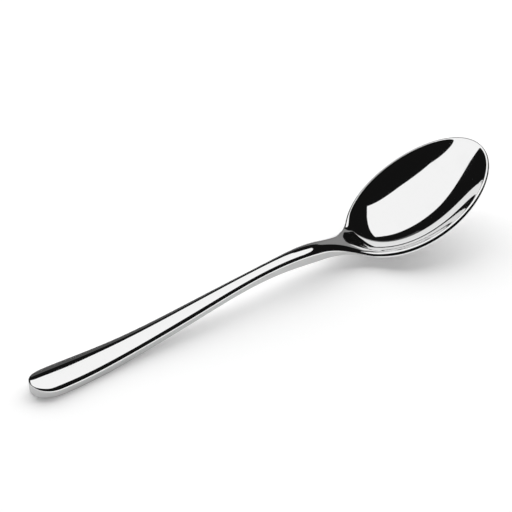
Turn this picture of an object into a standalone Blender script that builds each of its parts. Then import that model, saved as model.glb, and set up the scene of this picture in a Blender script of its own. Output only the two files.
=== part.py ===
"""A demitasse spoon in two pieces: a handle, and a bowl with its neck, joined by a brazed tang.

Metres, +Z up. X runs along the spoon from the handle's end to the bowl's tip, Y runs across it, and Z = 0
is the table that the pad under the handle and the belly of the bowl rest on. Each piece is a skin over half
sections, from the ridge on top, round the edge, to the keel below, and is mirrored across the spoon.
"""
import math

import bmesh
import bpy
import numpy as np

# Lengths along the spoon
HANDLE_LENGTH = 0.0580      # rounded end to the narrowest place, where the pieces meet
NECK_LENGTH = 0.0103        # narrowest place to the start of the flare
BOWL_LENGTH = 0.0331        # seen from above
END_ROUND = 0.0054          # length of the rounded end
PAD_FROM_END = 0.0110       # middle of the flat pad that the handle rests on
TAPER_FROM_END = 0.0210     # where the taper is measured
SHANK_FROM_END = 0.0380     # middle of the shank
BEND_FROM_JOINT = 0.0095    # where the neck turns down
FALL_FROM_JOINT = 0.0170    # where it falls to the bowl

# Widths across the spoon
END_WIDTH = 0.0071
END_FULLNESS = 2.3          # 2 rounds the end to an ellipse, more makes it squarer
TAPER_WIDTH = 0.00555
SHANK_WIDTH = 0.0041
NECK_WIDTH = 0.0032
ROOT_WIDTH = 0.00395        # neck where the flare starts
BOWL_WIDTH = 0.02414
FLARE_RADIUS = 0.0160       # hollow curve from the neck into the bowl
RIM_WIDTH = 0.0007          # level land round the hollow

# Height of the side wall at the edge
END_EDGE = 0.00172
PAD_EDGE = 0.00187
SHANK_EDGE = 0.00150
NECK_EDGE = 0.00200
ROOT_EDGE = 0.00215         # where the flare starts
RIM_EDGE = 0.00090

# Height of the underside's edge over the table
END_LIFT = 0.00030
PAD_SINK = 0.00008          # how deep the curved underside is dressed flat at the pad
SHANK_LIFT = 0.00262
NECK_LIFT = 0.00450         # at the joint
BEND_DROP = 0.00045         # below the joint
FALL_DROP = 0.00264

# Hollow of the bowl
BOWL_DEPTH = 0.00536        # below the rim, at the middle
BOWL_WALL = 0.00085         # at the middle
DISH_STEEPNESS = 0.22       # how much steeper the sides are than in an even dish
DISH_EASE = 0.20            # how much they straighten towards the rim
ROOT_SOFTNESS = 0.14        # how softly the neck's top runs into the hollow
ROOT_FROM = 0.70            # where that starts, from the middle towards the neck, in half bowl lengths
BOWL_SINK = 0.00016         # how deep the belly is dressed flat where it rests
BOWL_TILT_DEG = 21.9        # the tip is higher than the root
RIM_SAG = 0.00089           # the rim curves up towards both ends
RIM_REACH = 1.5             # how far towards the neck that curve holds, in half bowl lengths
VALLEY_BLEND = 0.0008       # rounding between the neck's fall and the rim's rise
KEEL_BLEND = 0.30           # how far the belly fades into the neck, in squared bowl radii

# Cross-section
END_CROWN = 0.30            # height of the crowned top, as a share of half the width
SHANK_CROWN = 0.345         # the same, from the shank on
CROWN_POWER = 3.0           # how round the crown is: 2 is even, more is fuller at the edges
NECK_BELLY = 0.00045        # rounding of the underside of the neck

# Joint between the pieces
TANG_WIDTH = 0.0011
TANG_HEIGHT = 0.0010
TANG_LENGTH = 0.0030
JOINT_GAP = 0.0003          # filled with braze

# Fineness of the skin
END_STEPS = 9
SHANK_STEPS = 18
NECK_STEPS = 9
FLARE_STEPS = 7
BOWL_STEPS = 26
LAND_RINGS = 5
DISH_RINGS = 9
UNDER_RINGS = 9
SAMPLES = 2001              # points tried along a curve
HALVINGS = 60               # steps of the search for the flare's touching point
WELD = 1e-6                 # points closer than this are one
SHARP_DEG = 35.0            # faces that meet more steeply than this keep a crisp edge

STEEL_COLOUR = (0.82, 0.82, 0.82, 1.0)
STEEL_ROUGHNESS = 0.08


def smoothstep(value):
    """Ease from 0 to 1."""
    t = np.clip(value, 0.0, 1.0)
    return t * t * (3.0 - 2.0 * t)


def smooth_top(first, second, blend):
    """The higher of two heights, rounded where they cross."""
    return (first + second + np.sqrt((first - second) ** 2 + blend ** 2)) / 2.0


def spline(places, values, level_end):
    """A curve through stations, level at its start, and level or straight on past its end."""
    x = np.array(places)
    y = np.array(values)
    h = np.diff(x)
    count = len(x)
    matrix = np.zeros((count, count))
    right = np.zeros(count)
    matrix[0, 0] = 1.0
    for i in range(1, count - 1):
        matrix[i, i - 1:i + 2] = (1.0 / h[i - 1], 2.0 / h[i - 1] + 2.0 / h[i], 1.0 / h[i])
        right[i] = 3.0 * ((y[i] - y[i - 1]) / h[i - 1] ** 2 + (y[i + 1] - y[i]) / h[i] ** 2)
    if level_end:
        matrix[-1, -1] = 1.0
    else:
        matrix[-1, -2:] = (1.0, 2.0)
        right[-1] = 3.0 * (y[-1] - y[-2]) / h[-1]
    slopes = np.linalg.solve(matrix, right)

    def curve(place):
        at = np.clip(place, x[0], x[-1])
        i = np.clip(np.searchsorted(x, at) - 1, 0, count - 2)
        t = (at - x[i]) / h[i]
        start = (1.0 + 2.0 * t) * (1.0 - t) ** 2 * y[i] + t * (1.0 - t) ** 2 * h[i] * slopes[i]
        finish = t ** 2 * (3.0 - 2.0 * t) * y[i + 1] + t ** 2 * (t - 1.0) * h[i] * slopes[i + 1]
        beyond = np.maximum(place - x[-1], 0.0) * slopes[-1]
        return start + finish + beyond

    return curve


# Places along the spoon, from the handle's end
joint = HANDLE_LENGTH
bend = joint + BEND_FROM_JOINT
fall = joint + FALL_FROM_JOINT
flare = joint + NECK_LENGTH

# The bowl's outline is an ellipse, set where the flare touches both it and the neck
half_length = BOWL_LENGTH / 2.0
half_bowl = BOWL_WIDTH / 2.0


def ellipse_normal(angle):
    """Outward normal of the bowl's outline, by angle from its root."""
    normal = np.array((-half_bowl * math.cos(angle), half_length * math.sin(angle)))
    return normal / np.linalg.norm(normal)


def touching_angle():
    """Angle on the bowl's outline where the flare touches it."""
    low, high = 0.0, math.pi / 2.0
    for _ in range(HALVINGS):
        angle = (low + high) / 2.0
        reach = half_bowl * math.sin(angle) + FLARE_RADIUS * ellipse_normal(angle)[1]
        if reach < ROOT_WIDTH / 2.0 + FLARE_RADIUS:
            low = angle
        else:
            high = angle
    return angle


touch = touching_angle()
flare_to_touch = -FLARE_RADIUS * ellipse_normal(touch)[0]
bowl_start = flare + flare_to_touch
bowl_middle = bowl_start + half_length * math.cos(touch)
total_length = bowl_middle + half_length

side = spline(
    (END_ROUND, TAPER_FROM_END, SHANK_FROM_END, joint, flare),
    (END_WIDTH / 2.0, TAPER_WIDTH / 2.0, SHANK_WIDTH / 2.0, NECK_WIDTH / 2.0, ROOT_WIDTH / 2.0),
    level_end=True)


def swell(x):
    """Half the width of the handle, the neck and the flare, without the rounding of the end."""
    into_flare = np.clip(x - flare, 0.0, flare_to_touch)
    return float(side(x)) + FLARE_RADIUS - math.sqrt(FLARE_RADIUS ** 2 - into_flare ** 2)


def half_width(x):
    """Half of the outline's width."""
    if x < END_ROUND:
        return END_WIDTH / 2.0 * (1.0 - (1.0 - x / END_ROUND) ** END_FULLNESS) ** (1.0 / END_FULLNESS)
    if x < bowl_start:
        return swell(x)
    return half_bowl * math.sqrt(max(1.0 - ((x - bowl_middle) / half_length) ** 2, 0.0))


def foot(x):
    """Where the inward normal of the outline meets the middle of the spoon, or of its rounded end."""
    if x < END_ROUND:
        return END_ROUND
    if x > bowl_start:
        return x - (x - bowl_middle) * (half_bowl / half_length) ** 2
    step = END_ROUND / SAMPLES
    before = max(x - step, END_ROUND)
    after = min(x + step, bowl_start)
    return x + half_width(x) * (half_width(after) - half_width(before)) / (after - before)


def beyond_ellipse(x, y, margin):
    """One minus the squared radius in the bowl's outline drawn in by a margin."""
    along = (x - bowl_middle) / (half_length - margin)
    across = y / (half_bowl - margin)
    return 1.0 - along ** 2 - across ** 2


# Heights: the side wall, the top edge and the rest on the table
outer_depth = (BOWL_DEPTH + BOWL_WALL - RIM_EDGE) / (1.0 - KEEL_BLEND / 4.0)
thin_edge = RIM_EDGE - outer_depth * KEEL_BLEND / 4.0
edge = spline(
    (0.0, PAD_FROM_END, SHANK_FROM_END, joint, flare, bowl_start),
    (END_EDGE, PAD_EDGE, SHANK_EDGE, NECK_EDGE, ROOT_EDGE, thin_edge),
    level_end=True)
neck_height = NECK_LIFT + NECK_EDGE
arch = spline(
    (0.0, PAD_FROM_END, SHANK_FROM_END, joint, bend, fall),
    (END_LIFT + END_EDGE, PAD_EDGE - PAD_SINK, SHANK_LIFT + SHANK_EDGE,
     neck_height, neck_height - BEND_DROP, neck_height - FALL_DROP),
    level_end=False)


def rim_rise(x):
    """Height of the rim over its middle."""
    along = np.maximum((x - bowl_middle) / half_length, -RIM_REACH)
    return math.tan(math.radians(BOWL_TILT_DEG)) * (x - bowl_middle) + RIM_SAG * along ** 2


def dished(inside):
    """Share of the bowl's depth: one in the middle, nought at the edge, with steep, straightened sides."""
    outward = np.minimum(1.0 - inside, 1.0)
    return inside * (1.0 + DISH_STEEPNESS * outward - DISH_EASE * outward ** 3)


def belly(x, y):
    """Depth of the bowl's outside under its edge, faded into the neck."""
    inside = dished(beyond_ellipse(x, y, 0.0))
    faded = np.clip(inside + KEEL_BLEND, 0.0, 2.0 * KEEL_BLEND) ** 2 / (4.0 * KEEL_BLEND)
    return outer_depth * np.where(inside > KEEL_BLEND, inside, faded)


bowl_line = np.linspace(bowl_start, total_length, SAMPLES)
rim_middle = -BOWL_SINK - np.min(rim_rise(bowl_line) - thin_edge - belly(bowl_line, 0.0))


def edge_height(x):
    """Height of the top edge over the table."""
    return smooth_top(arch(x), rim_middle + rim_rise(x), VALLEY_BLEND)


def crown(x, y):
    """Rise of the crowned top over its side edge. It runs on to the rounded end and dies away at the bowl."""
    fade = 1.0 - smoothstep((x - flare) / flare_to_touch)
    grow = smoothstep((x - TAPER_FROM_END) / (SHANK_FROM_END - TAPER_FROM_END))
    rise = END_CROWN + (SHANK_CROWN - END_CROWN) * grow
    return fade * rise * swell(x) * (1.0 - min(y / swell(x), 1.0) ** CROWN_POWER)


def neck_belly(x):
    """Rounding of the underside, which grows along the shank and dies away at the bowl."""
    grow = smoothstep((x - SHANK_FROM_END) / (joint - SHANK_FROM_END))
    fade = 1.0 - smoothstep((x - flare) / flare_to_touch)
    return NECK_BELLY * grow * fade


def hollow(x, y):
    """Depth of the hollow below the edge. Its rim is crisp, but at the root the neck's top runs in softly."""
    rootward = (bowl_middle - x) / half_length
    soft = ROOT_SOFTNESS * smoothstep((rootward - ROOT_FROM) / (1.0 - ROOT_FROM))
    return BOWL_DEPTH * smooth_top(dished(beyond_ellipse(x, y, RIM_WIDTH)), 0.0, soft)


def hollow_share(outer, middle, width):
    """Share of the way from the middle to the edge at which the hollow ends."""
    inner_length = half_length - RIM_WIDTH
    u = (middle - bowl_middle) / inner_length
    du = (outer - middle) / inner_length
    dv = width / (half_bowl - RIM_WIDTH)
    if u * u >= 1.0:
        return 0.0
    square = du * du + dv * dv
    return (-u * du + math.sqrt((u * du) ** 2 + square * (1.0 - u * u))) / square


def half_section(x, dish_rings, level=False):
    """Points of one half section: from the middle of the top to the edge, and back below to the middle."""
    middle = x if level else foot(x)
    width = half_width(x)
    ending = hollow_share(x, middle, width)
    dish = ending * np.linspace(0.0, 1.0, dish_rings)[:-1]
    land = ending + (1.0 - ending) * np.linspace(0.0, 1.0, LAND_RINGS)
    over = np.concatenate((dish, land))
    under = np.linspace(1.0, 0.0, UNDER_RINGS)
    points = []
    for share in over:
        px = middle + share * (x - middle)
        py = share * width
        points.append((px, py, edge_height(px) + crown(px, py) - hollow(px, py)))
    for share in under:
        px = middle + share * (x - middle)
        py = share * width
        depth = edge(px) + belly(px, py) + neck_belly(x) * (1.0 - share ** 2)
        points.append((px, py, max(edge_height(px) - depth, 0.0)))
    return np.array(points)


def narrowed(section, x, width, height, level):
    """A section drawn in to a width and a height about a level, at another place."""
    low, high = section[:, 2].min(), section[:, 2].max()
    drawn = section.copy()
    drawn[:, 0] = x
    drawn[:, 1] *= width / 2.0 / section[:, 1].max()
    drawn[:, 2] = level + (section[:, 2] - (low + high) / 2.0) * height / (high - low)
    return drawn


def steel(name):
    """Polished steel."""
    material = bpy.data.materials.new(name)
    material.use_nodes = True
    shader = material.node_tree.nodes["Principled BSDF"]
    shader.inputs["Base Color"].default_value = STEEL_COLOUR
    shader.inputs["Metallic"].default_value = 1.0
    shader.inputs["Roughness"].default_value = STEEL_ROUGHNESS
    material.diffuse_color = STEEL_COLOUR
    return material


def skin(name, sections, cap_first, cap_last, parent):
    """An object skinned over half sections, closed at its joint and mirrored across the spoon."""
    shape = bmesh.new()
    rows = [[shape.verts.new(point) for point in section] for section in sections]
    for row, following in zip(rows, rows[1:]):
        for j in range(len(row) - 1):
            shape.faces.new((row[j], following[j], following[j + 1], row[j + 1]))
    if cap_first:
        shape.faces.new(rows[0])
    if cap_last:
        shape.faces.new(reversed(rows[-1]))
    bmesh.ops.remove_doubles(shape, verts=shape.verts, dist=WELD)
    mesh = bpy.data.meshes.new(name)
    shape.to_mesh(mesh)
    shape.free()
    mesh.shade_smooth()
    mesh.set_sharp_from_angle(angle=math.radians(SHARP_DEG))
    mesh.materials.append(steel(name + "_steel"))
    piece = bpy.data.objects.new(name, mesh)
    bpy.context.collection.objects.link(piece)
    piece.parent = parent
    piece.location.x = -total_length / 2.0
    mirror = piece.modifiers.new("both_sides", "MIRROR")
    mirror.use_axis = (False, True, False)
    mirror.merge_threshold = WELD
    return piece


def handle(parent):
    """Rounded end, shank and tang."""
    turns = np.linspace(0.0, math.pi / 2.0, END_STEPS)
    places = list(END_ROUND * (1.0 - np.maximum(np.cos(turns), 0.0) ** (2.0 / END_FULLNESS)))
    places += list(np.linspace(END_ROUND, joint, SHANK_STEPS)[1:-1])
    sections = [half_section(x, 1) for x in places]
    shoulder = half_section(joint, 1, level=True)
    level = (shoulder[:, 2].min() + shoulder[:, 2].max()) / 2.0
    tang = [narrowed(shoulder, x, TANG_WIDTH, TANG_HEIGHT, level) for x in (joint, joint + TANG_LENGTH)]
    return skin("handle", sections + [shoulder] + tang, False, True, parent)


def bowl(parent):
    """Socket for the tang, neck, flare and bowl."""
    face = joint + JOINT_GAP
    shoulder = half_section(face, DISH_RINGS, level=True)
    handle_shoulder = half_section(joint, 1, level=True)
    level = (handle_shoulder[:, 2].min() + handle_shoulder[:, 2].max()) / 2.0
    width = TANG_WIDTH + 2.0 * JOINT_GAP
    height = TANG_HEIGHT + 2.0 * JOINT_GAP
    socket = [narrowed(shoulder, x, width, height, level) for x in (face + TANG_LENGTH, face)]
    places = list(np.linspace(face, flare, NECK_STEPS)[1:])
    places += list(np.linspace(flare, bowl_start, FLARE_STEPS)[1:])
    turns = np.linspace(touch, math.pi, BOWL_STEPS)[1:]
    places += list(bowl_middle - half_length * np.cos(turns))
    sections = [half_section(x, DISH_RINGS) for x in places]
    return skin("bowl", socket + [shoulder] + sections, True, False, parent)


for old in list(bpy.data.objects):
    bpy.data.objects.remove(old)
spoon = bpy.data.objects.new("spoon", None)
bpy.context.collection.objects.link(spoon)
handle(spoon)
bowl(spoon)
print(f"length {total_length * 1000:.2f} mm, rim at the middle {rim_middle * 1000:.2f} mm over the table")
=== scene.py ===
# %% [markdown]
# # A demitasse spoon
#
# A small coffee spoon of polished steel lies on a white table. The imported model gives the frame: where each
# piece of the spoon is, in metres, with the table at Z = 0. Everything made below is put around that frame,
# so nothing has to be fitted by eye.

# %% Load the frame
import math

import bpy
import numpy as np
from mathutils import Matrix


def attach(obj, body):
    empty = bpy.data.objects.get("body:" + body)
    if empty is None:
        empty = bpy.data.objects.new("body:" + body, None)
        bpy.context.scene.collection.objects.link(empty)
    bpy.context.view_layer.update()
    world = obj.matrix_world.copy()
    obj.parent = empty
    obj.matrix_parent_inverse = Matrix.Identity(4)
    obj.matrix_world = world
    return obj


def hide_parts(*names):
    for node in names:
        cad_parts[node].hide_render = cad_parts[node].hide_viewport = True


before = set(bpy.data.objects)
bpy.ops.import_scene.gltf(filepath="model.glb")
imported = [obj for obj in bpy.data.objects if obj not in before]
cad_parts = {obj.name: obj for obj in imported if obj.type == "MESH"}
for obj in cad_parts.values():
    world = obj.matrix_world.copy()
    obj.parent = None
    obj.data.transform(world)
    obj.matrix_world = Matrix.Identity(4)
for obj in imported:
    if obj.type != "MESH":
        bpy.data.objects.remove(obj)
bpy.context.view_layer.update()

# %% [markdown]
# ## The camera
#
# The spoon lies on a table and is seen from above, a third of the way round from its side towards the
# handle's end. A long lens keeps it from looking stretched. Lens and place were found by matching the outline
# of the spoon in the photograph: a camera that is nearer needs a wider lens, and would make the handle's end
# too large beside the bowl.

# %% Set the camera
CAMERA_PLACE = (-0.16703, -0.25410, 0.28356)
CAMERA_ABOVE_DEG = 42.0
CAMERA_ROUND_DEG = 32.95
LENS_MM = 140.6

lens = bpy.data.cameras.new("camera")
lens.lens = LENS_MM
camera = bpy.data.objects.new("camera", lens)
camera.location = CAMERA_PLACE
camera.rotation_euler = (math.radians(90.0 - CAMERA_ABOVE_DEG), 0.0, math.radians(-CAMERA_ROUND_DEG))
bpy.context.collection.objects.link(camera)
bpy.context.scene.camera = camera
bpy.context.scene.view_settings.view_transform = "Standard"
print("camera", CAMERA_ABOVE_DEG, "degrees above the table")

# %% [markdown]
# ## Soft steps and rounded crossings
#
# Polished steel shows every kink, so nothing on the spoon may start or stop at once. Blender's own curves
# could be eased by their handles, but the same two rules are needed in many places here, so they are helpers.
# One goes from nought to one with a level start and a level end. The other takes the higher of two heights
# and rounds the place where they cross.

# %% Ease and round
def ease(value):
    t = np.clip(value, 0.0, 1.0)
    return t * t * (3.0 - 2.0 * t)


def rounded_top(first, second, blend):
    return (first + second + np.sqrt((first - second) ** 2 + blend ** 2)) / 2.0


print("a quarter of the way along, the ease has gone", round(float(ease(0.25)), 3), "of its rise")

# %% [markdown]
# ## A batten through stations
#
# A maker draws a spoon with a batten: a thin strip held at a few stations, which bends evenly between them.
# Blender has curve objects for this, but here each curve is a height or a width that other sizes depend on,
# so it is a small function instead. It first solves for the slopes at which the bend runs on evenly through
# every station, and then draws a cubic between each two of them.

# %% Bend a batten
def batten(places, values, level_end):
    x, y = np.array(places), np.array(values)
    h = np.diff(x)
    count = len(x)
    matrix, right_side = np.zeros((count, count)), np.zeros(count)
    matrix[0, 0] = 1.0
    for i in range(1, count - 1):
        matrix[i, i - 1:i + 2] = (1.0 / h[i - 1], 2.0 / h[i - 1] + 2.0 / h[i], 1.0 / h[i])
        right_side[i] = 3.0 * ((y[i] - y[i - 1]) / h[i - 1] ** 2 + (y[i + 1] - y[i]) / h[i] ** 2)
    if level_end:
        matrix[-1, -1] = 1.0
    else:
        matrix[-1, -2:] = (1.0, 2.0)
        right_side[-1] = 3.0 * (y[-1] - y[-2]) / h[-1]
    slopes = np.linalg.solve(matrix, right_side)

    def curve(place):
        at = np.clip(place, x[0], x[-1])
        i = np.clip(np.searchsorted(x, at) - 1, 0, count - 2)
        t = (at - x[i]) / h[i]
        start = (1.0 + 2.0 * t) * (1.0 - t) ** 2 * y[i] + t * (1.0 - t) ** 2 * h[i] * slopes[i]
        finish = t ** 2 * (3.0 - 2.0 * t) * y[i + 1] + t ** 2 * (t - 1.0) * h[i] * slopes[i + 1]
        return start + finish + np.maximum(place - x[-1], 0.0) * slopes[-1]

    return curve


hump = batten((0.0, 1.0, 2.0), (0.0, 1.0, 0.0), level_end=True)
print("a batten held at 0, 1 and 0 is", round(float(hump(0.5)), 3), "high between its first two stations")

# %% [markdown]
# ## The outline
#
# From above, the spoon is a rounded end, a taper and an oval bowl. On a real spoon this outline is cut from a
# strip of steel before anything is bent, so it comes first here too. A curve could be drawn by eye, but named
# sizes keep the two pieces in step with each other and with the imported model, whose sizes these are, in
# metres. The two pieces meet at the narrowest place, and past it the neck opens into the flare.

# %% Sizes from above
HANDLE_LENGTH = 0.0580
NECK_LENGTH = 0.0103
BOWL_LENGTH = 0.0331
END_ROUND = 0.0054
TAPER_FROM_END = 0.0210
SHANK_FROM_END = 0.0380

END_WIDTH = 0.0071
TAPER_WIDTH = 0.00555
SHANK_WIDTH = 0.0041
NECK_WIDTH = 0.0032
ROOT_WIDTH = 0.00395
BOWL_WIDTH = 0.02414
FLARE_RADIUS = 0.0160

joint = HANDLE_LENGTH
flare = joint + NECK_LENGTH
half_length = BOWL_LENGTH / 2.0
half_bowl = BOWL_WIDTH / 2.0
print(f"the pieces meet {joint * 1000:.1f} mm from the handle's end, the flare starts at"
      f" {flare * 1000:.1f} mm")

# %% [markdown]
# ## Where the flare touches the bowl
#
# Two hollow arcs lead from the neck into the oval, as a half-round file would cut them. Each arc has to touch
# the oval without a corner. Where it touches can't be written down directly, so the angle is found by
# halving: try the middle, keep the half that still holds the answer.

# %% Let the flare touch the oval
HALVINGS = 60


def oval_normal(angle):
    normal = np.array((-half_bowl * math.cos(angle), half_length * math.sin(angle)))
    return normal / np.linalg.norm(normal)


low, high = 0.0, math.pi / 2.0
for _ in range(HALVINGS):
    touch = (low + high) / 2.0
    reach = half_bowl * math.sin(touch) + FLARE_RADIUS * oval_normal(touch)[1]
    if reach < ROOT_WIDTH / 2.0 + FLARE_RADIUS:
        low = touch
    else:
        high = touch

flare_to_touch = -FLARE_RADIUS * oval_normal(touch)[0]
bowl_start = flare + flare_to_touch
bowl_middle = bowl_start + half_length * math.cos(touch)
total_length = bowl_middle + half_length
print(f"{total_length * 1000:.1f} mm long, the flare touches the oval at {math.degrees(touch):.1f} degrees")

# %% [markdown]
# ## The width along the spoon
#
# The width follows a batten through five stations, then the arc of the flare, then the oval. The end is
# rounded by a power a little over two, which is fuller than an ellipse, as on a handle that is cut square and
# then rounded. Later the spoon is cut into sections that stand square to this outline, so the last helper
# finds where such a section meets the middle of the spoon.

# %% Measure the width
END_FULLNESS = 2.3
SLOPE_STEP = 2e-6

side = batten(
    (END_ROUND, TAPER_FROM_END, SHANK_FROM_END, joint, flare),
    (END_WIDTH / 2.0, TAPER_WIDTH / 2.0, SHANK_WIDTH / 2.0, NECK_WIDTH / 2.0, ROOT_WIDTH / 2.0),
    level_end=True)


def swell(x):
    """Half the width of the handle, the neck and the flare, without the rounding of the end."""
    into_flare = np.clip(x - flare, 0.0, flare_to_touch)
    return side(x) + FLARE_RADIUS - np.sqrt(FLARE_RADIUS ** 2 - into_flare ** 2)


def half_width(x):
    if x < END_ROUND:
        return END_WIDTH / 2.0 * (1.0 - (1.0 - x / END_ROUND) ** END_FULLNESS) ** (1.0 / END_FULLNESS)
    if x < bowl_start:
        return float(swell(x))
    return half_bowl * math.sqrt(max(1.0 - ((x - bowl_middle) / half_length) ** 2, 0.0))


def foot(x):
    """Where a line square to the outline meets the middle of the spoon, or the middle of the rounded end."""
    if x < END_ROUND:
        return END_ROUND
    if x > bowl_start:
        return x - (x - bowl_middle) * (half_bowl / half_length) ** 2
    before, after = max(x - SLOPE_STEP, END_ROUND), min(x + SLOPE_STEP, bowl_start)
    return x + half_width(x) * (half_width(after) - half_width(before)) / (after - before)


print(f"half the width is {half_width(joint) * 1000:.2f} mm at the joint and"
      f" {half_width(bowl_middle) * 1000:.2f} mm at the bowl")

# %% [markdown]
# ## The hollow and the belly
#
# A spoon's bowl is sunk with a punch into a die. Its hollow is an oval dish, even in the middle, with sides
# that steepen and then straighten towards the rim. The belly follows it outside and fades out under the neck.
# A sphere scaled to an oval would be simpler, but its sides rise in another way, and on a mirror that moves
# every reflection. So the depth is a formula with two shares that could be tuned.

# %% Sink the bowl
BOWL_DEPTH = 0.00536
BOWL_WALL = 0.00085
RIM_EDGE = 0.00090
DISH_STEEPNESS = 0.22
DISH_EASE = 0.20
KEEL_BLEND = 0.30

outer_depth = (BOWL_DEPTH + BOWL_WALL - RIM_EDGE) / (1.0 - KEEL_BLEND / 4.0)
thin_edge = RIM_EDGE - outer_depth * KEEL_BLEND / 4.0


def in_oval(x, y, margin):
    """One in the middle of the bowl, nought on its outline drawn in by a margin."""
    return 1.0 - ((x - bowl_middle) / (half_length - margin)) ** 2 - (y / (half_bowl - margin)) ** 2


def dished(inside):
    """Share of the depth: one in the middle, nought at the edge, with steep sides that straighten there."""
    outward = np.minimum(1.0 - inside, 1.0)
    return inside * (1.0 + DISH_STEEPNESS * outward - DISH_EASE * outward ** 3)


def belly(x, y):
    inside = dished(in_oval(x, y, 0.0))
    faded = np.clip(inside + KEEL_BLEND, 0.0, 2.0 * KEEL_BLEND) ** 2 / (4.0 * KEEL_BLEND)
    return outer_depth * np.where(inside > KEEL_BLEND, inside, faded)


print(f"the hollow is {BOWL_DEPTH * 1000:.2f} mm deep, the steel under it {BOWL_WALL * 1000:.2f} mm thick")

# %% [markdown]
# ## The rim
#
# Seen from the side, the rim climbs from the neck to the tip and sags a little between them. The spoon lies
# on its belly, so the rim's height isn't a size of its own. The lowest place of the belly is found along the
# middle of the bowl, and the rim is set so that this place lies just in the table. What would go below the
# table is dressed flat, which makes the small level spot that the bowl rests on.

# %% Set the bowl on the table
BOWL_TILT_DEG = 21.9
RIM_SAG = 0.00089
RIM_REACH = 1.5
BOWL_SINK = 0.00016
KEEL_POINTS = 2001


def rim_rise(x):
    along = np.maximum((x - bowl_middle) / half_length, -RIM_REACH)
    return math.tan(math.radians(BOWL_TILT_DEG)) * (x - bowl_middle) + RIM_SAG * along ** 2


keel = np.linspace(bowl_start, total_length, KEEL_POINTS)
rim_middle = -BOWL_SINK - np.min(rim_rise(keel) - thin_edge - belly(keel, 0.0))
print(f"the rim is {rim_middle * 1000:.2f} mm over the table at its middle")

# %% [markdown]
# ## The long curve
#
# The handle rests near its end, arches up to the neck and falls into the bowl. On a real spoon this curve is
# pressed into the strip. A Curve modifier could bend a straight handle, but it would stretch the sizes that
# were measured. So two battens hold the curve: one for the height of the side wall, one for the height of its
# top edge over the table. Where the neck's fall meets the rim's climb, the valley between them is rounded.

# %% Bend the long curve
PAD_FROM_END = 0.0110
BEND_FROM_JOINT = 0.0095
FALL_FROM_JOINT = 0.0170

END_EDGE = 0.00172
PAD_EDGE = 0.00187
SHANK_EDGE = 0.00150
NECK_EDGE = 0.00200
ROOT_EDGE = 0.00215

END_LIFT = 0.00030
PAD_SINK = 0.00008
SHANK_LIFT = 0.00262
NECK_LIFT = 0.00450
BEND_DROP = 0.00045
FALL_DROP = 0.00264
VALLEY_BLEND = 0.0008

bend = joint + BEND_FROM_JOINT
fall = joint + FALL_FROM_JOINT
neck_height = NECK_LIFT + NECK_EDGE
wall = batten(
    (0.0, PAD_FROM_END, SHANK_FROM_END, joint, flare, bowl_start),
    (END_EDGE, PAD_EDGE, SHANK_EDGE, NECK_EDGE, ROOT_EDGE, thin_edge),
    level_end=True)
arch = batten(
    (0.0, PAD_FROM_END, SHANK_FROM_END, joint, bend, fall),
    (END_LIFT + END_EDGE, PAD_EDGE - PAD_SINK, SHANK_LIFT + SHANK_EDGE,
     neck_height, neck_height - BEND_DROP, neck_height - FALL_DROP),
    level_end=False)


def edge_height(x):
    return rounded_top(arch(x), rim_middle + rim_rise(x), VALLEY_BLEND)


print(f"the edge is {edge_height(joint) * 1000:.2f} mm high at the joint and"
      f" {edge_height(total_length) * 1000:.2f} mm at the tip")

# %% [markdown]
# ## The dome and the root
#
# The top of the handle is domed, full towards its edges, and the dome dies away in the flare, where the
# hollow takes over. The hollow's rim is crisp all round, apart from the root, where the top of the neck runs
# softly into the hollow. A Bevel modifier would round the whole rim alike, so the softness is part of the
# formula and only grows towards the root.

# %% Dome the handle and soften the root
END_CROWN = 0.30
SHANK_CROWN = 0.345
CROWN_POWER = 3.0
RIM_WIDTH = 0.0007
RIM_SOFTNESS = 0.008
ROOT_SOFTNESS = 0.14
ROOT_FROM = 0.70


def crown(x, y):
    """Rise of the domed top over its side edge. It dies away in the flare."""
    fade = 1.0 - ease((x - flare) / flare_to_touch)
    grow = ease((x - TAPER_FROM_END) / (SHANK_FROM_END - TAPER_FROM_END))
    rise = END_CROWN + (SHANK_CROWN - END_CROWN) * grow
    return fade * rise * swell(x) * (1.0 - np.minimum(y / swell(x), 1.0) ** CROWN_POWER)


def hollow(x, y):
    """Depth of the hollow below the edge, crisp at the rim and soft at the root."""
    rootward = (bowl_middle - x) / half_length
    soft = RIM_SOFTNESS + ROOT_SOFTNESS * ease((rootward - ROOT_FROM) / (1.0 - ROOT_FROM))
    return BOWL_DEPTH * rounded_top(dished(in_oval(x, y, RIM_WIDTH)), 0.0, soft)


print(f"the dome rises {crown(SHANK_FROM_END, 0.0) * 1000:.2f} mm over its edge on the shank")

# %% [markdown]
# ## Rounded corners
#
# Crisp is not sharp: grinding and polishing leave a tiny round on every edge, and that round catches the
# light as a thin line. So each corner of a section gets a short arc of its own points. A Bevel modifier could
# do it, but its width would be the same everywhere, and on this spoon it isn't. The arc is a stretch of an
# ellipse: on the handle a full quarter that ends upright, on the bowl's rim a shorter one that ends leaning.

# %% Round a corner
ROUND_POINTS = 9
UPRIGHT_DEG = 90.0


def corner(first, sharp, second, turn_deg):
    """Points of the small round that takes the place of a sharp corner: a stretch of an ellipse."""
    end = math.radians(turn_deg)
    turn = np.linspace(0.0, end, ROUND_POINTS)[:, None]
    inward, down = np.sin(turn) / math.sin(end), (1.0 - np.cos(turn)) / (1.0 - math.cos(end))
    return first + (sharp - first) * inward + (second - sharp) * down


arc = corner(np.array((0.0, 1.0)), np.array((1.0, 1.0)), np.array((1.0, 0.0)), UPRIGHT_DEG)
print("a corner has", len(arc), "points, the middle one at", arc[ROUND_POINTS // 2].round(3))

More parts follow.
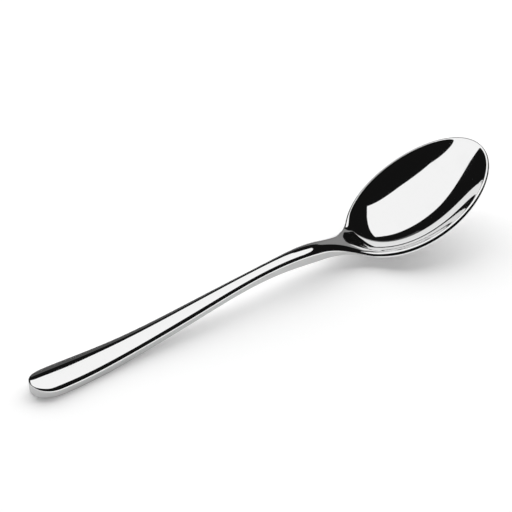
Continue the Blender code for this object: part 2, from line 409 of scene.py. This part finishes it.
# %% [markdown]
# ## Where the hollow ends
#
# A section through the bowl crosses the hollow, the narrow rim and the edge. Its points should lie on the
# inner edge of the rim, because a mesh that only comes near such an edge makes it look ragged. Where a
# straight line leaves an oval is one quadratic equation, so it is solved here for every section.

# %% Find the end of the hollow
def hollow_share(x, middle, width):
    """Share of the way from the middle to the edge at which the hollow ends."""
    inner = half_length - RIM_WIDTH
    u, du, dv = (middle - bowl_middle) / inner, (x - middle) / inner, width / (half_bowl - RIM_WIDTH)
    if u * u >= 1.0:
        return 0.0
    square = du * du + dv * dv
    return (-u * du + math.sqrt((u * du) ** 2 + square * (1.0 - u * u))) / square


print(f"the hollow ends at {hollow_share(bowl_middle, bowl_middle, half_bowl):.3f} of the widest section")

# %% [markdown]
# ## A half section
#
# Cut across, the handle has a domed top with a rounded edge, an upright side and a flat underside that is a
# little full at the neck. The bowl has the hollow, the narrow rim, and the belly. A profile could be drawn as
# a curve and swept along another, but here it changes all the way. So one function gives the points of half a
# section at any place, from the ridge on top, round the edge, to the keel below.

# %% Shape half a section
EDGE_ROUND = 0.00050
UNDER_ROUND = 0.00012
RIM_ROUND = 0.00068
RIM_TURN_DEG = 64.0
ROUND_SHARE = 0.92
NECK_BELLY = 0.00045

LAND_POINTS = 12
WALL_POINTS = 4
UNDER_POINTS = 18
DISH_CROWDING = 1.7
LAND_CROWDING = 1.3


def half_section(x, dish_points, upright):
    middle = x if upright else foot(x)
    width = half_width(x)
    across = math.hypot(x - middle, width)
    fade = 1.0 - ease((x - flare) / flare_to_touch)
    keel_drop = NECK_BELLY * fade * ease((x - SHANK_FROM_END) / (joint - SHANK_FROM_END))

    def top(share):
        px, py = middle + share * (x - middle), share * width
        pz = edge_height(px) + crown(px, py) - hollow(px, py)
        return np.stack(np.broadcast_arrays(px, py, pz), axis=-1)

    def under(share):
        px, py = middle + share * (x - middle), share * width
        pz = edge_height(px) - wall(px) - belly(px, py) - keel_drop * (1.0 - share ** 2)
        return np.stack(np.broadcast_arrays(px, py, np.maximum(pz, 0.0)), axis=-1)

    edge_round = EDGE_ROUND + (RIM_ROUND - EDGE_ROUND) * (1.0 - fade)
    turn_deg = RIM_TURN_DEG + (UPRIGHT_DEG - RIM_TURN_DEG) * fade
    ending = hollow_share(x, middle, width)
    last = 1.0 - edge_round / across
    dish = ending * (1.0 - np.linspace(1.0, 0.0, dish_points + 1)[:-1] ** DISH_CROWDING)
    land = ending + (last - ending) * np.linspace(0.0, 1.0, LAND_POINTS) ** LAND_CROWDING
    over = top(np.concatenate((dish, land)))
    below = under(np.linspace(1.0 - UNDER_ROUND / across, 0.0, UNDER_POINTS))

    upper, lower = top(1.0), under(1.0)
    tall = upper[2] - lower[2]
    wall_top = upper - (0.0, 0.0, min(edge_round, tall * ROUND_SHARE))
    wall_foot = lower + (0.0, 0.0, min(UNDER_ROUND, tall * (1.0 - ROUND_SHARE)))
    upper_round = corner(over[-1], upper, wall_top, turn_deg)
    lower_round = corner(wall_foot, lower, below[0], UPRIGHT_DEG)
    side_wall = np.linspace(upper_round[-1], lower_round[0], WALL_POINTS + 2)[1:-1]
    return np.concatenate((over, upper_round[1:], side_wall, lower_round, below[1:]))


print("a section of the handle has", len(half_section(SHANK_FROM_END, 0, False)), "points on each side")

# %% [markdown]
# ## A flat sheet
#
# Every piece starts as a flat grid, as the real one starts as a flat strip. Its long way becomes the length
# of the spoon, and its short way is wrapped over the section. Sculpting or box modelling could give the shape
# too, but not the even curvature that a polished surface needs. Each point's row and column tell where it
# belongs.

# %% Lay a sheet
def lay_sheet(name, rows, columns):
    """A flat grid, and the row and the column of each of its points."""
    bpy.ops.object.select_all(action="DESELECT")
    bpy.ops.mesh.primitive_grid_add(x_subdivisions=columns, y_subdivisions=rows, size=1.0)
    sheet = bpy.context.object
    sheet.name = sheet.data.name = name
    flat = np.empty(len(sheet.data.vertices) * 3)
    sheet.data.vertices.foreach_get("co", flat)
    flat = flat.reshape(-1, 3) + 0.5
    print(name, "starts as a sheet of", rows, "by", columns, "faces")
    return sheet, np.rint(flat[:, 1] * rows).astype(int), np.rint(flat[:, 0] * columns).astype(int)


# %% [markdown]
# ## The ground edge and its painted shade
#
# The top and the underside of the spoon are polished like a mirror, but the narrow side of the handle is only
# ground: it is rougher, and it is also painted a darker grey, which is painted shade for the shaded table that
# this side mirrors. Both finishes are on the same piece of steel, so they share one material, and the mesh
# says where each of them is. A number is written on every point, one on the side wall and nought elsewhere,
# and the material reads it as an attribute. It fades out where the side wall runs into the rim.

# %% Mark the ground edge and its painted shade
GROUND_POINTS = 2
GROUND_FADE = 0.0040


def mark_ground_and_shaded_edge(piece, column, columns, along):
    wall_start = columns + 2 - UNDER_POINTS - ROUND_POINTS - WALL_POINTS
    wall_end = wall_start + WALL_POINTS
    on_edge = (column >= wall_start - GROUND_POINTS) & (column < wall_end + GROUND_POINTS)
    # The same number paints the side wall a darker grey in the material: painted shade.
    ground_and_shade = on_edge * (1.0 - ease((along - bowl_start + GROUND_FADE) / GROUND_FADE))
    piece.data.attributes.new("ground_and_shaded_edge", "FLOAT", "POINT").data.foreach_set("value", ground_and_shade)
    print(piece.name, "has", int(np.count_nonzero(ground_and_shade)), "points on its ground edge")


# %% [markdown]
# ## From sheet to piece
#
# The sheet is pressed by moving each of its points to its place in the sections. A Mirror modifier makes the
# other half, so both sides are alike. Then the doubled points along the middle are merged and the open end at
# the joint is filled, because a piece of steel has no holes. Smoothing by angle keeps the face at the joint
# flat and everything else round.

# %% Press a piece
WELD = 1e-6
SHARP_DEG = 50.0


def close_up(piece):
    """Adds the mirrored half, merges the middle and fills the open end at the joint."""
    mirror = piece.modifiers.new("both_sides", "MIRROR")
    mirror.use_axis = (False, True, False)
    mirror.merge_threshold = WELD
    bpy.ops.object.modifier_apply(modifier=mirror.name)
    bpy.ops.object.mode_set(mode="EDIT")
    bpy.ops.mesh.select_all(action="SELECT")
    bpy.ops.mesh.remove_doubles(threshold=WELD)
    bpy.ops.mesh.select_all(action="DESELECT")
    bpy.ops.mesh.select_non_manifold(extend=False, use_wire=False, use_multi_face=False,
                                     use_non_contiguous=False, use_verts=False)
    bpy.ops.mesh.edge_face_add()
    bpy.ops.mesh.select_all(action="SELECT")
    bpy.ops.mesh.normals_make_consistent(inside=False)
    bpy.ops.object.mode_set(mode="OBJECT")
    bpy.ops.object.shade_smooth_by_angle(angle=math.radians(SHARP_DEG))


def press(name, sections):
    rows, columns = len(sections) - 1, len(sections[0]) - 1
    piece, row, column = lay_sheet(name, rows, columns)
    points = np.array(sections)[row, column]
    mark_ground_and_shaded_edge(piece, column, columns, points[:, 0])
    points[:, 0] -= total_length / 2.0
    piece.data.vertices.foreach_set("co", points.ravel())
    close_up(piece)
    print(name, "is done with", len(piece.data.polygons), "faces")
    return piece


# %% [markdown]
# ## The handle
#
# The handle runs from its rounded end to the narrowest place of the neck, where it was brazed to the bowl and
# the joint was polished away. At the rounded end the sections turn like the ribs of a fan. The last two lie
# close together, so that the surface has the same slope on both sides of the joint and the joint doesn't
# show.

# %% Press the handle
END_STEPS = 28
SHANK_STEPS = 110
SEAM_STEP = 0.00002

turns = np.linspace(0.0, math.pi / 2.0, END_STEPS)
places = list(END_ROUND * (1.0 - np.maximum(np.cos(turns), 0.0) ** (2.0 / END_FULLNESS)))
places += list(np.linspace(END_ROUND, joint - SEAM_STEP, SHANK_STEPS)[1:])
sections = [half_section(x, 0, False) for x in places] + [half_section(joint, 0, True)]
handle = press("handle_piece", sections)

# %% [markdown]
# ## The bowl
#
# The bowl's piece starts at the joint, runs along the neck, opens in the flare and ends at the tip. Its
# sections stand square to the outline, so that the rim has an even width and the thin lines along it stay
# even too. They lie closest together in the flare, where the shape changes fastest.

# %% Press the bowl
NECK_STEPS = 30
FLARE_STEPS = 160
BOWL_STEPS = 120
DISH_POINTS = 60

places = list(np.linspace(joint + SEAM_STEP, flare, NECK_STEPS))
turns = np.linspace(0.0, math.asin(flare_to_touch / FLARE_RADIUS), FLARE_STEPS)[1:]
places += list(flare + FLARE_RADIUS * np.sin(turns))
turns = np.linspace(touch, math.pi, BOWL_STEPS)[1:]
places += list(bowl_middle - half_length * np.cos(turns))
sections = [half_section(joint, DISH_POINTS, True)] + [half_section(x, DISH_POINTS, False) for x in places]
bowl = press("bowl_piece", sections)

# %% [markdown]
# ## Reckoning with sockets
#
# A material is a network of nodes. Drawn by hand, a small sum takes three nodes and four links, so this class
# lets a socket be used like a number: adding two of them makes a Math node. Any other node comes from one
# method, which takes the node's settings first and its inputs after them.

# %% A socket that can be used like a number
class Socket:
    def __init__(self, tree, output):
        self.tree, self.output = tree, output

    def node(self, kind, settings, inputs, output=0):
        made = self.tree.nodes.new(kind)
        for name, value in settings.items():
            setattr(made, name, value)
        for name, value in inputs.items():
            if isinstance(value, Socket):
                self.tree.links.new(value.output, made.inputs[name])
            else:
                made.inputs[name].default_value = value
        return Socket(self.tree, made.outputs[output])

    def maths(self, operation, *values):
        return self.node("ShaderNodeMath", {"operation": operation}, dict(enumerate(values)))

    def __add__(self, other):
        return self.maths("ADD", self, other)

    def __mul__(self, other):
        return self.maths("MULTIPLY", self, other)

    __radd__, __rmul__ = __add__, __mul__

    def step(self, start, end):
        """Eases from nought to one while the socket goes from start to end."""
        return self.node("ShaderNodeMapRange", {"interpolation_type": "SMOOTHSTEP"},
                         {"Value": self, "From Min": start, "From Max": end})


# %% [markdown]
# ## An empty material
#
# Every material below starts in the same way: no nodes but its output, and the object's own coordinates to
# draw patterns with. These coordinates belong to the piece, so a pattern stays on it wherever it goes.

# %% Start a material
def new_material(name):
    """An empty material, its output's socket and the object's own coordinates."""
    material = bpy.data.materials.new(name)
    material.use_nodes = True
    tree = material.node_tree
    tree.nodes.clear()
    surface = tree.nodes.new("ShaderNodeOutputMaterial").inputs["Surface"]
    place = Socket(tree, None).node("ShaderNodeTexCoord", {}, {}, "Object")
    print("new material:", name)
    return material, surface, place


# %% [markdown]
# ## Polished steel
#
# Mirror-polished steel has almost no colour of its own: what is seen is the room. Two things keep it from
# looking like a computer's mirror. The polishing wheel runs along the spoon and leaves hair-fine lines, and
# handling leaves soft, faint smears. Image textures could hold them, but two noises are enough, one of them
# stretched along the spoon. They change how sharp the reflection is, so they go into the roughness, and the
# lines also into a bump far too low to be seen as a shape. On the ground edge the steel is rougher, and it is
# painted greyer as painted shade.

# %% Draw the lines and the smears
LINE_SCALE = (120.0, 5200.0, 5200.0)
LINE_DETAIL = 3.0
SMEAR_SCALE = 160.0
SMEAR_DETAIL = 4.0
SMEAR_DISTORTION = 0.6
SMEAR_FROM, SMEAR_TO = 0.50, 0.75

steel, surface, place = new_material("polished_steel")
along_spoon = place.node("ShaderNodeMapping", {}, {"Vector": place, "Scale": LINE_SCALE})
lines = place.node("ShaderNodeTexNoise", {}, {"Vector": along_spoon, "Scale": 1.0, "Detail": LINE_DETAIL})
smears = place.node("ShaderNodeTexNoise", {}, {
    "Vector": place, "Scale": SMEAR_SCALE, "Detail": SMEAR_DETAIL, "Distortion": SMEAR_DISTORTION})
smeared = smears.step(SMEAR_FROM, SMEAR_TO)
# This mark makes the side wall rougher, and paints it a darker grey as painted shade.
ground_and_shade = place.node("ShaderNodeAttribute", {"attribute_name": "ground_and_shaded_edge"}, {}, "Fac")
print("patterns:", len(steel.node_tree.nodes), "nodes so far")

# %% [markdown]
# ## Colour, roughness and bump
#
# The colour is mixed twice: first polished steel with its slightly duller smears, then both with the darker
# grey of the ground edge, which is painted shade. A Mix node has sockets for numbers, vectors and colours at
# once, so the colour sockets are named by their place in the list.

# %% Make the steel
STEEL_COLOUR = (0.82, 0.82, 0.82)
SMEAR_SHADE = 0.96
SMEAR_WEIGHT = 0.5
# Painted shade: the darker grey of the ground edge stands for the shaded table that the side wall mirrors.
GROUND_AND_SHADE_COLOUR = (0.62, 0.62, 0.62)
POLISH = 0.025
LINE_ROUGHNESS = 0.02
SMEAR_ROUGHNESS = 0.030
GROUND_ROUGHNESS = 0.40
LINE_HEIGHT = 2e-7
LINE_STRENGTH = 0.3
FIRST_COLOUR, SECOND_COLOUR, MIXED_COLOUR = 6, 7, 2


def mixed(factor, first, second):
    return factor.node("ShaderNodeMix", {"data_type": "RGBA"}, {
        "Factor": factor, FIRST_COLOUR: first, SECOND_COLOUR: second}, MIXED_COLOUR)


dull_colour = [SMEAR_SHADE * c for c in STEEL_COLOUR]
polished = mixed(smeared * SMEAR_WEIGHT, (*STEEL_COLOUR, 1.0), (*dull_colour, 1.0))
colour = mixed(ground_and_shade, polished, (*GROUND_AND_SHADE_COLOUR, 1.0))
roughness = POLISH + lines * LINE_ROUGHNESS + smeared * SMEAR_ROUGHNESS + ground_and_shade * GROUND_ROUGHNESS
wavy = place.node("ShaderNodeBump", {}, {"Strength": LINE_STRENGTH, "Distance": LINE_HEIGHT, "Height": lines})
metal = place.node("ShaderNodeBsdfPrincipled", {}, {
    "Base Color": colour, "Metallic": 1.0, "Roughness": roughness, "Normal": wavy})
steel.node_tree.links.new(metal.output, surface)
for piece in (handle, bowl):
    piece.data.materials.clear()
    piece.data.materials.append(steel)
print("steel:", len(steel.node_tree.nodes), "nodes")

# %% [markdown]
# ## In the place of the imported pieces
#
# Each finished piece takes the place of the imported one that it was made for, which is hidden. The spoon is
# one rigid body, so both pieces ride on the root: each is parented to the root's empty.

# %% Put the pieces in the place of the nodes
for piece, node in ((handle, "handle"), (bowl, "bowl")):
    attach(piece, "root")
    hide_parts(node)
    print(piece.name, "takes the place of", node)

# %% [markdown]
# ## The room in the mirror
#
# A polished spoon is photographed by building the room that it shows. Here it is a dark tent with one large
# softbox overhead, a grey backdrop low behind the table, and the white table itself. An image of a room
# wrapped round the scene would be quicker, but a card can be moved until its edge falls where it should. All
# of it is described from where the camera stands: so far to the right, so far away, so high. Only reflections
# see the cards and the tent, so that they never stand in the way of another view.

# %% Directions and cards
right = np.array((math.cos(math.radians(CAMERA_ROUND_DEG)), -math.sin(math.radians(CAMERA_ROUND_DEG)), 0.0))
away = np.array((math.sin(math.radians(CAMERA_ROUND_DEG)), math.cos(math.radians(CAMERA_ROUND_DEG)), 0.0))
upward = np.array((0.0, 0.0, 1.0))


def mirror_only(thing):
    thing.visible_camera = thing.visible_diffuse = False
    thing.visible_shadow = thing.visible_transmission = False
    print(thing.name, "is seen by reflections only")


def glow(thing, strength):
    """Makes a thing shine evenly, or as strongly as a function of its coordinates says."""
    material, surface, place = new_material(thing.name)
    shine = strength(place) if callable(strength) else strength
    emission = place.node("ShaderNodeEmission", {}, {"Strength": shine})
    material.node_tree.links.new(emission.output, surface)
    thing.data.materials.append(material)


def card(name, corners, strength):
    """A flat glowing card, given by its corners."""
    mesh = bpy.data.meshes.new(name)
    mesh.from_pydata([tuple(c) for c in corners], [], [range(len(corners))])
    made = bpy.data.objects.new(name, mesh)
    bpy.context.collection.objects.link(made)
    glow(made, strength)
    mirror_only(made)


# %% [markdown]
# ## The softbox
#
# The large white shapes in the bowl and along the handle are one softbox, mirrored twice. Its outline follows
# from theirs: each corner is where a ray from the camera goes after it meets the steel on the border of the
# white. A plain rectangle gives white shapes as well, but with other borders. The corners are places to the
# right and away, on a ceiling one metre up.

# %% Hang the softbox
SOFTBOX_HEIGHT = 1.0
SOFTBOX_GLOW = 1.09
SOFTBOX_CORNERS = (
    (0.76, -0.09), (0.60, 0.40), (0.36, 1.24), (0.05, 1.11), (-0.35, 1.04),
    (-1.07, 0.97), (-1.71, 0.71), (-2.19, 0.54), (-4.00, 0.45), (-4.00, -0.60),
    (-1.04, -0.67), (-0.56, -0.65), (0.03, -0.44), (0.41, -0.25))

softbox_corners = [SOFTBOX_HEIGHT * (x * right + y * away + upward) for x, y in SOFTBOX_CORNERS]
card("softbox", softbox_corners, SOFTBOX_GLOW)

# %% [markdown]
# ## The backdrop
#
# The grey on the far flank of the handle and round the root of the bowl is a backdrop behind the table. It is
# dim on the left and brighter on the right, so its glow follows its own coordinates. Low down, the far flank
# would mirror the white table instead, so a dim glowing card lies on the table behind the handle and carries
# the grey on. It is painted shade: it stands for the table in shade there.

# %% Stand the backdrop
BACKDROP_AWAY = 1.2
BACKDROP_TOP = 0.60
BACKDROP_LEFT, BACKDROP_RIGHT = -0.48, 1.0
DIM_GLOW, BRIGHT_GLOW = 0.09, 0.27
DIM_UNTIL, BRIGHT_FROM = -0.15, 0.40

DIM_CARD_X = (-0.4, 0.02)
DIM_CARD_Y = (0.0046, 1.0)
DIM_CARD_HEIGHT = 2e-4


def backdrop_glow(place):
    across = place.node("ShaderNodeVectorMath", {"operation": "DOT_PRODUCT"},
                        {0: place, 1: tuple(right)}, "Value")
    return DIM_GLOW + across.step(DIM_UNTIL, BRIGHT_FROM) * (BRIGHT_GLOW - DIM_GLOW)


def four_corners(first, second):
    return ((first[0], second[0]), (first[1], second[0]), (first[1], second[1]), (first[0], second[1]))


backdrop_corners = four_corners((BACKDROP_LEFT, BACKDROP_RIGHT), (0.0, BACKDROP_TOP))
card("backdrop", [x * right + BACKDROP_AWAY * away + z * upward for x, z in backdrop_corners], backdrop_glow)
# A dim glowing card on the table, seen only by reflections: painted shade of the table behind the handle.
card("shaded_table_card", [(x, y, DIM_CARD_HEIGHT) for x, y in four_corners(DIM_CARD_X, DIM_CARD_Y)], DIM_GLOW)

# %% [markdown]
# ## The tent
#
# Everything else that the steel mirrors is nearly black: a photographer hangs dark cloth all round. Here it
# is one large sphere with a very faint glow. A dark world would do the same for the mirror, but here the
# world is the white background.

# %% Put up the tent
TENT_RADIUS = 8.0
TENT_SEGMENTS, TENT_RINGS = 48, 24
TENT_GLOW = 0.007

bpy.ops.object.select_all(action="DESELECT")
bpy.ops.mesh.primitive_uv_sphere_add(segments=TENT_SEGMENTS, ring_count=TENT_RINGS, radius=TENT_RADIUS)
tent = bpy.context.object
tent.name = "tent"
glow(tent, TENT_GLOW)
mirror_only(tent)

# %% [markdown]
# ## The table
#
# The table is a white sheet. Near the spoon it is a plain matt white that takes the soft shadow, with a
# little glow of its own so that it is as white as the paper of a catalogue. Further out it glows fully, so
# that it is white up to the horizon from every side. A plain matt sheet would be simpler, but it would go
# grey far from the lamp. The glow is there only for rays that look at the table, and so it lights nothing.

# %% Lay the table
TABLE_SIZE = 40.0
PAPER = 0.92
PAPER_GLOW = 0.14
MATT_UNTIL, WHITE_FROM = 0.12, 0.40


def looked_at(tree):
    """One for a ray of the camera, of a reflection or through something clear, and nought for other rays."""
    camera_ray, mirrored_ray, clear_ray = (
        Socket(tree, None).node("ShaderNodeLightPath", {}, {}, name)
        for name in ("Is Camera Ray", "Is Glossy Ray", "Is Transmission Ray"))
    return camera_ray + mirrored_ray + clear_ray


bpy.ops.object.select_all(action="DESELECT")
bpy.ops.mesh.primitive_plane_add(size=TABLE_SIZE)
table = bpy.context.object
table.name = "table"
paper, surface, place = new_material("white_paper")
distance = place.node("ShaderNodeVectorMath", {"operation": "LENGTH"}, {0: place}, "Value")
seen = looked_at(paper.node_tree)
matt = place.node("ShaderNodeBsdfDiffuse", {}, {"Color": (PAPER, PAPER, PAPER, 1.0)})
sheen = place.node("ShaderNodeEmission", {}, {"Strength": seen * PAPER_GLOW})
near_sheet = place.node("ShaderNodeAddShader", {}, {0: matt, 1: sheen})
far_sheet = place.node("ShaderNodeEmission", {}, {"Strength": seen})
sheet = place.node("ShaderNodeMixShader", {}, {
    0: distance.step(MATT_UNTIL, WHITE_FROM), 1: near_sheet, 2: far_sheet})
paper.node_tree.links.new(sheet.output, surface)
table.data.materials.append(paper)
print("the table is matt for", MATT_UNTIL, "m round the spoon")

# %% [markdown]
# ## The light
#
# The spoon's shadow is soft and falls towards the camera, so the light comes from behind. One large lamp
# stands upright there like a window, and it faces the camera. A small lamp would draw a hard shadow. The
# steel doesn't mirror this lamp, because the softbox is what it is meant to show.

# %% Stand the lamp
LAMP_WATTS = 166.0
LAMP_SIZE = (6.0, 4.6)
LAMP_PLACE = (-0.08, 0.80, 2.35)
LAMP_TIPPED_DEG = 90.0

lamp_data = bpy.data.lights.new("lamp", "AREA")
lamp_data.shape = "RECTANGLE"
lamp_data.size, lamp_data.size_y = LAMP_SIZE
lamp_data.energy = LAMP_WATTS
lamp = bpy.data.objects.new("lamp", lamp_data)
lamp.location = LAMP_PLACE[0] * right + LAMP_PLACE[1] * away + LAMP_PLACE[2] * upward
lamp.rotation_euler = (math.radians(-LAMP_TIPPED_DEG), 0.0, math.radians(-CAMERA_ROUND_DEG))
lamp.visible_glossy = False
bpy.context.collection.objects.link(lamp)
print("lamp of", LAMP_SIZE, "m,", LAMP_WATTS, "W")

# %% [markdown]
# ## The room's own light
#
# Pale walls send a little light into every shadow, and without it the shadow would be far too dark. The world
# gives that light. Where it is looked at, it is plain white, so that the background is white from every side
# without lighting the spoon any more.

# %% Light the room
ROOM_LIGHT = 0.25

world = bpy.data.worlds.new("room")
world.use_nodes = True
bpy.context.scene.world = world
tree = world.node_tree
strength = ROOM_LIGHT + looked_at(tree) * (1.0 - ROOM_LIGHT)
tree.nodes["Background"].inputs["Color"].default_value = (1.0, 1.0, 1.0, 1.0)
tree.links.new(strength.output, tree.nodes["Background"].inputs["Strength"])
print("the room gives", ROOM_LIGHT, "of full light")
